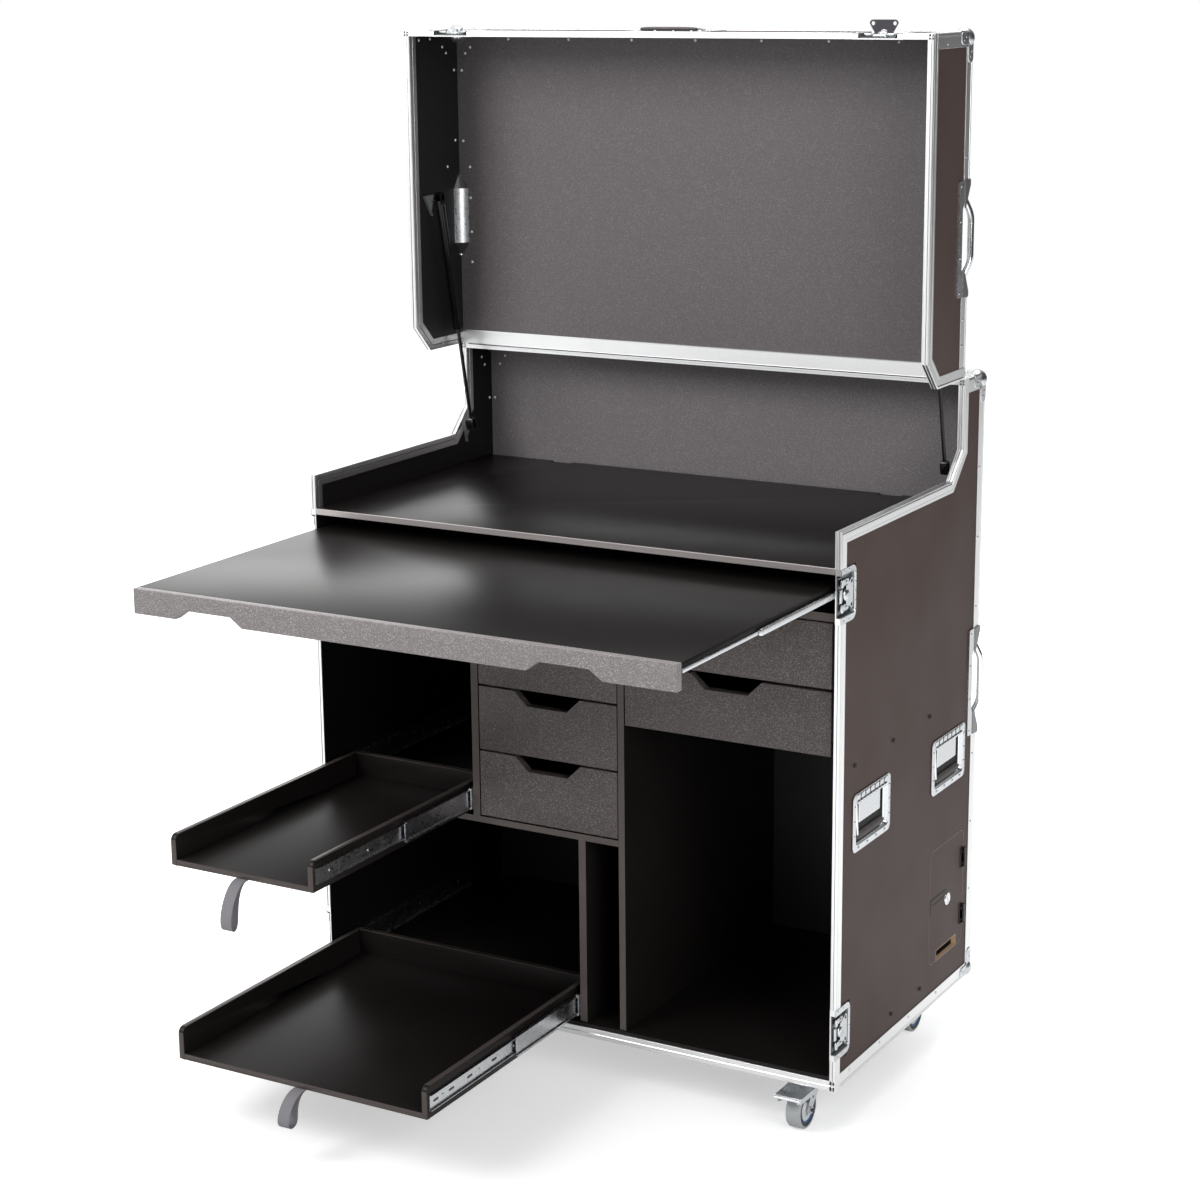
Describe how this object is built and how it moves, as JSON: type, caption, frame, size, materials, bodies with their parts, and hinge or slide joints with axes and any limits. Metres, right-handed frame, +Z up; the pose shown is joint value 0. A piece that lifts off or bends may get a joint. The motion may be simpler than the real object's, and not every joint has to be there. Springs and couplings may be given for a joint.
{
  "type": "road case with drawers",
  "caption": "Tall wheeled flight case with a hinged lid on gas struts, a pull-out desk, pull-out trays, drawers, latches, handles and an access door.",
  "frame": {"origin": "on the floor, at the middle of the whole object's footprint in the pictured pose, lid open and desk and trays pulled out", "axes": "+Z up, -Y to the open front where the drawers are, +X to the side with the access door"},
  "size_m": [1.2206, 1.3089, 2.1278],
  "materials": {
    "outer_ply": "satin dark brown-black phenolic-faced birch plywood",
    "inner_board": "satin brown-black film-faced board",
    "speckled_board": "fine glittery grey speckle on the faces of drawer fronts",
    "profile_aluminium": "bright mill-finished extrusion with fine grooves",
    "zinc_steel": "bright zinc-plated pressed steel",
    "bright_chrome": "polished",
    "black_steel": "semi-gloss black",
    "grey_webbing": "woven webbing",
    "grey_tread": "grey non-marking rubber"
  },
  "bodies": {
    "cabinet": {"cabinet_left_panel": "outer_ply", "cabinet_right_panel": "outer_ply", "cabinet_back_panel": "outer_ply", "cabinet_floor_panel": "outer_ply", "cabinet_top_panel": "outer_ply", "cabinet_rim": "profile_aluminium", "cabinet_edge_frame": "profile_aluminium", "work_shelf": "inner_board", "drawer_bay_top": "inner_board", "tray_shelf": "inner_board", "divider_left": "inner_board", "divider_middle": "inner_board", "divider_lower": "inner_board", "lid_hinge": "zinc_steel"},
    "lid": {"lid_shell": "outer_ply", "lid_rim": "profile_aluminium", "lid_edge_frame": "profile_aluminium"},
    "desk": {"desk": "inner_board"},
    "desk_slides": {"desk_slide_left": "zinc_steel", "desk_slide_right": "zinc_steel"},
    "upper_tray": {"upper_tray": "inner_board", "upper_tray_strap": "grey_webbing"},
    "upper_tray_slides": {"upper_tray_slide_left": "zinc_steel", "upper_tray_slide_right": "zinc_steel"},
    "lower_tray": {"lower_tray": "inner_board", "lower_tray_strap": "grey_webbing"},
    "lower_tray_slides": {"lower_tray_slide_left": "zinc_steel", "lower_tray_slide_right": "zinc_steel"},
    "left_strut_rod": {"left_strut_rod": "black_steel"},
    "left_strut_tube": {"left_strut_tube": "black_steel"},
    "right_strut_rod": {"right_strut_rod": "black_steel"},
    "right_strut_tube": {"right_strut_tube": "black_steel"},
    "middle_drawer_1": {"middle_drawer_1": "speckled_board"},
    "middle_drawer_2": {"middle_drawer_2": "speckled_board"},
    "middle_drawer_3": {"middle_drawer_3": "speckled_board"},
    "right_drawer_1": {"right_drawer_1": "speckled_board"},
    "right_drawer_2": {"right_drawer_2": "speckled_board"},
    "access_door": {"access_door": "outer_ply"},
    "door_lock": {"door_lock": "bright_chrome"},
    "left_front_bail": {"left_front_bail": "bright_chrome"},
    "left_rear_bail": {"left_rear_bail": "bright_chrome"},
    "right_front_bail": {"right_front_bail": "bright_chrome"},
    "right_rear_bail": {"right_rear_bail": "bright_chrome"},
    "lid_bail": {"lid_bail": "bright_chrome"},
    "left_upper_latch_wing": {"left_upper_latch_wing": "zinc_steel"},
    "left_lower_latch_wing": {"left_lower_latch_wing": "zinc_steel"},
    "lid_left_latch_wing": {"lid_left_latch_wing": "zinc_steel"},
    "right_upper_latch_wing": {"right_upper_latch_wing": "zinc_steel"},
    "right_lower_latch_wing": {"right_lower_latch_wing": "zinc_steel"},
    "lid_right_latch_wing": {"lid_right_latch_wing": "zinc_steel"},
    "front_left_fork": {"front_left_fork": "zinc_steel"},
    "front_left_wheel": {"front_left_wheel": "grey_tread"},
    "front_left_brake_pedal": {"front_left_brake_pedal": "zinc_steel"},
    "front_right_fork": {"front_right_fork": "zinc_steel"},
    "front_right_wheel": {"front_right_wheel": "grey_tread"},
    "front_right_brake_pedal": {"front_right_brake_pedal": "zinc_steel"},
    "rear_left_fork": {"rear_left_fork": "zinc_steel"},
    "rear_left_wheel": {"rear_left_wheel": "grey_tread"},
    "rear_right_fork": {"rear_right_fork": "zinc_steel"},
    "rear_right_wheel": {"rear_right_wheel": "grey_tread"}
  },
  "joints": [
    {"name": "lid_fold", "type": "hinge", "parent": "cabinet", "child": "lid", "pos_m": [0, 0.5303, 1.418], "axis": [1, 0, 0], "range_deg": [0, 90], "stiffness_Nm_per_rad": 15, "springref_deg": -51.57},
    {"name": "left_strut_swing", "type": "hinge", "parent": "cabinet", "child": "left_strut_rod", "pos_m": [-0.568, 0.5143, 1.238], "axis": [1, 0, 0], "range_deg": [0, 68]},
    {"name": "left_strut_stroke", "type": "slide", "parent": "left_strut_rod", "child": "left_strut_tube", "axis": [0, 0.2053, -0.9787], "range_m": [0, 0.203]},
    {"name": "right_strut_swing", "type": "hinge", "parent": "cabinet", "child": "right_strut_rod", "pos_m": [0.568, 0.5143, 1.238], "axis": [1, 0, 0], "range_deg": [0, 68]},
    {"name": "right_strut_stroke", "type": "slide", "parent": "right_strut_rod", "child": "right_strut_tube", "axis": [0, 0.2053, -0.9787], "range_m": [0, 0.203]},
    {"name": "desk_pull", "type": "slide", "parent": "cabinet", "child": "desk", "axis": [0, 1, 0], "range_m": [0, 0.6]},
    {"name": "desk_slides_run", "type": "slide", "parent": "cabinet", "child": "desk_slides", "axis": [0, 1, 0], "range_m": [0, 0.3]},
    {"name": "upper_tray_pull", "type": "slide", "parent": "cabinet", "child": "upper_tray", "axis": [0, 1, 0], "range_m": [0, 0.545]},
    {"name": "upper_tray_slides_run", "type": "slide", "parent": "cabinet", "child": "upper_tray_slides", "axis": [0, 1, 0], "range_m": [0, 0.2725]},
    {"name": "lower_tray_pull", "type": "slide", "parent": "cabinet", "child": "lower_tray", "axis": [0, 1, 0], "range_m": [0, 0.545]},
    {"name": "lower_tray_slides_run", "type": "slide", "parent": "cabinet", "child": "lower_tray_slides", "axis": [0, 1, 0], "range_m": [0, 0.2725]},
    {"name": "middle_drawer_1_pull", "type": "slide", "parent": "cabinet", "child": "middle_drawer_1", "axis": [0, -1, 0], "range_m": [0, 0.5]},
    {"name": "middle_drawer_2_pull", "type": "slide", "parent": "cabinet", "child": "middle_drawer_2", "axis": [0, -1, 0], "range_m": [0, 0.5]},
    {"name": "middle_drawer_3_pull", "type": "slide", "parent": "cabinet", "child": "middle_drawer_3", "axis": [0, -1, 0], "range_m": [0, 0.5]},
    {"name": "right_drawer_1_pull", "type": "slide", "parent": "cabinet", "child": "right_drawer_1", "axis": [0, -1, 0], "range_m": [0, 0.5]},
    {"name": "right_drawer_2_pull", "type": "slide", "parent": "cabinet", "child": "right_drawer_2", "axis": [0, -1, 0], "range_m": [0, 0.5]},
    {"name": "access_door_swing", "type": "hinge", "parent": "cabinet", "child": "access_door", "pos_m": [0.6015, 0.5918, 0.325], "axis": [0, 0, 1], "range_deg": [0, 110]},
    {"name": "door_lock_turn", "type": "hinge", "parent": "access_door", "child": "door_lock", "pos_m": [0.595, 0.5053, 0.321], "axis": [1, 0, 0], "range_deg": [0, 90]},
    {"name": "left_front_bail_swing", "type": "hinge", "parent": "cabinet", "child": "left_front_bail", "pos_m": [-0.595, 0.1023, 0.6737], "axis": [0, 1, 0], "range_deg": [0, 90], "stiffness_Nm_per_rad": 0.3},
    {"name": "left_rear_bail_swing", "type": "hinge", "parent": "cabinet", "child": "left_rear_bail", "pos_m": [-0.595, 0.4923, 0.6737], "axis": [0, 1, 0], "range_deg": [0, 90], "stiffness_Nm_per_rad": 0.3},
    {"name": "right_front_bail_swing", "type": "hinge", "parent": "cabinet", "child": "right_front_bail", "pos_m": [0.595, 0.1023, 0.6737], "axis": [0, -1, 0], "range_deg": [0, 90], "stiffness_Nm_per_rad": 0.3},
    {"name": "right_rear_bail_swing", "type": "hinge", "parent": "cabinet", "child": "right_rear_bail", "pos_m": [0.595, 0.4923, 0.6737], "axis": [0, -1, 0], "range_deg": [0, 90], "stiffness_Nm_per_rad": 0.3},
    {"name": "lid_bail_swing", "type": "hinge", "parent": "lid", "child": "lid_bail", "pos_m": [0, 0.47, 2.098], "axis": [-1, 0, 0], "range_deg": [0, 90], "stiffness_Nm_per_rad": 0.3},
    {"name": "left_upper_wing_fold", "type": "hinge", "parent": "cabinet", "child": "left_upper_latch_wing", "pos_m": [-0.5978, -0.0257, 1.096], "axis": [0, 0, 1], "range_deg": [0, 90]},
    {"name": "left_lower_wing_fold", "type": "hinge", "parent": "cabinet", "child": "left_lower_latch_wing", "pos_m": [-0.5978, -0.0257, 0.224], "axis": [0, 0, 1], "range_deg": [0, 90]},
    {"name": "lid_left_wing_fold", "type": "hinge", "parent": "lid", "child": "lid_left_latch_wing", "pos_m": [-0.484, 0.3638, 2.1008], "axis": [1, 0, 0], "range_deg": [0, 90]},
    {"name": "right_upper_wing_fold", "type": "hinge", "parent": "cabinet", "child": "right_upper_latch_wing", "pos_m": [0.5978, -0.0257, 1.096], "axis": [0, 0, -1], "range_deg": [0, 90]},
    {"name": "right_lower_wing_fold", "type": "hinge", "parent": "cabinet", "child": "right_lower_latch_wing", "pos_m": [0.5978, -0.0257, 0.224], "axis": [0, 0, -1], "range_deg": [0, 90]},
    {"name": "lid_right_wing_fold", "type": "hinge", "parent": "lid", "child": "lid_right_latch_wing", "pos_m": [0.484, 0.3638, 2.1008], "axis": [-1, 0, 0], "range_deg": [0, 90]},
    {"name": "front_left_swivel", "type": "hinge", "parent": "cabinet", "child": "front_left_fork", "pos_m": [-0.51, 0.0243, 0.093], "axis": [0, 0, 1], "continuous": true},
    {"name": "front_left_roll", "type": "hinge", "parent": "front_left_fork", "child": "front_left_wheel", "pos_m": [-0.51, -0.0157, 0.04], "axis": [1, 0, 0], "continuous": true},
    {"name": "front_left_brake_press", "type": "hinge", "parent": "front_left_fork", "child": "front_left_brake_pedal", "pos_m": [-0.51, 0.0003, 0.0755], "axis": [1, 0, 0], "range_deg": [0, 8]},
    {"name": "front_right_swivel", "type": "hinge", "parent": "cabinet", "child": "front_right_fork", "pos_m": [0.51, 0.0243, 0.093], "axis": [0, 0, 1], "continuous": true},
    {"name": "front_right_roll", "type": "hinge", "parent": "front_right_fork", "child": "front_right_wheel", "pos_m": [0.51, -0.0157, 0.04], "axis": [1, 0, 0], "continuous": true},
    {"name": "front_right_brake_press", "type": "hinge", "parent": "front_right_fork", "child": "front_right_brake_pedal", "pos_m": [0.51, 0.0003, 0.0755], "axis": [1, 0, 0], "range_deg": [0, 8]},
    {"name": "rear_left_swivel", "type": "hinge", "parent": "cabinet", "child": "rear_left_fork", "pos_m": [-0.51, 0.5643, 0.093], "axis": [0, 0, 1], "continuous": true},
    {"name": "rear_left_roll", "type": "hinge", "parent": "rear_left_fork", "child": "rear_left_wheel", "pos_m": [-0.51, 0.5243, 0.04], "axis": [1, 0, 0], "continuous": true},
    {"name": "rear_right_swivel", "type": "hinge", "parent": "cabinet", "child": "rear_right_fork", "pos_m": [0.51, 0.5643, 0.093], "axis": [0, 0, 1], "continuous": true},
    {"name": "rear_right_roll", "type": "hinge", "parent": "rear_right_fork", "child": "rear_right_wheel", "pos_m": [0.51, 0.5243, 0.04], "axis": [1, 0, 0], "continuous": true}
  ],
  "couplings": [
    {"joint": "left_strut_swing", "follows": "lid_fold", "ratio": 0.75402},
    {"joint": "left_strut_stroke", "follows": "lid_fold", "m_per_rad": 0.12858},
    {"joint": "right_strut_swing", "follows": "lid_fold", "ratio": 0.75402},
    {"joint": "right_strut_stroke", "follows": "lid_fold", "m_per_rad": 0.12858},
    {"joint": "desk_slides_run", "follows": "desk_pull", "ratio": 0.5},
    {"joint": "upper_tray_slides_run", "follows": "upper_tray_pull", "ratio": 0.5},
    {"joint": "lower_tray_slides_run", "follows": "lower_tray_pull", "ratio": 0.5}
  ]
}
